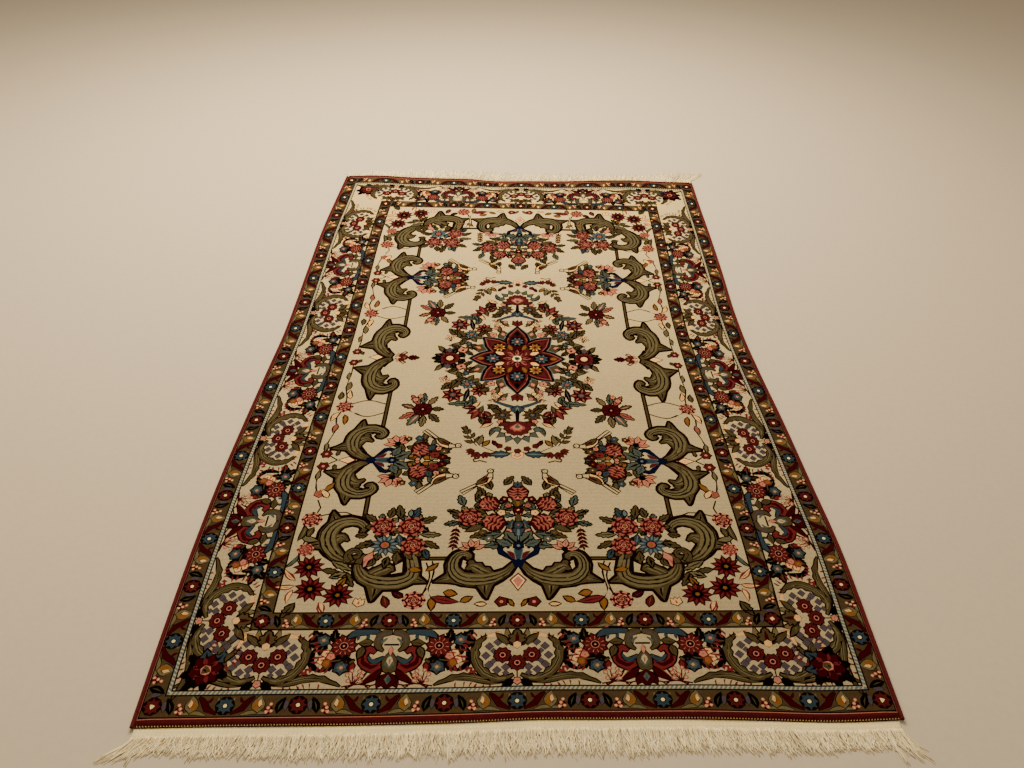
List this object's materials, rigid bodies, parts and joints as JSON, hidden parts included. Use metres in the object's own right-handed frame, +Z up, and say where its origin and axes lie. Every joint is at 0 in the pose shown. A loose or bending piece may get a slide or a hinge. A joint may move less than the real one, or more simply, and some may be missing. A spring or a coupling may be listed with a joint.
{
  "type": "persian rug",
  "caption": "Flat hand-knotted pile rug with a floral field and borders, overcast red side cords, and cream cotton fringe on a woven web at both ends.",
  "frame": {"origin": "middle of the rug's underside, on the surface it lies on", "axes": "+X across the rug, +Y along it, from the end that the picture shows nearest to the far end, +Z up out of the pile"},
  "size_m": [1.424, 2.3612, 0.014],
  "materials": {
    "wool_pile": "short knotted wool pile, patterned in dark red, olive, cream, slate blue and dark green",
    "red_overcasting": "matt red wool wrapped closely round the side cords",
    "cream_cotton": "matt cream cotton, a plain-woven web and loose warp ends"
  },
  "bodies": {
    "root": {"pile_cloth": "wool_pile", "selvedge_left": "red_overcasting", "selvedge_right": "red_overcasting", "fringe_front": "cream_cotton", "fringe_back": "cream_cotton"}
  },
  "joints": []
}
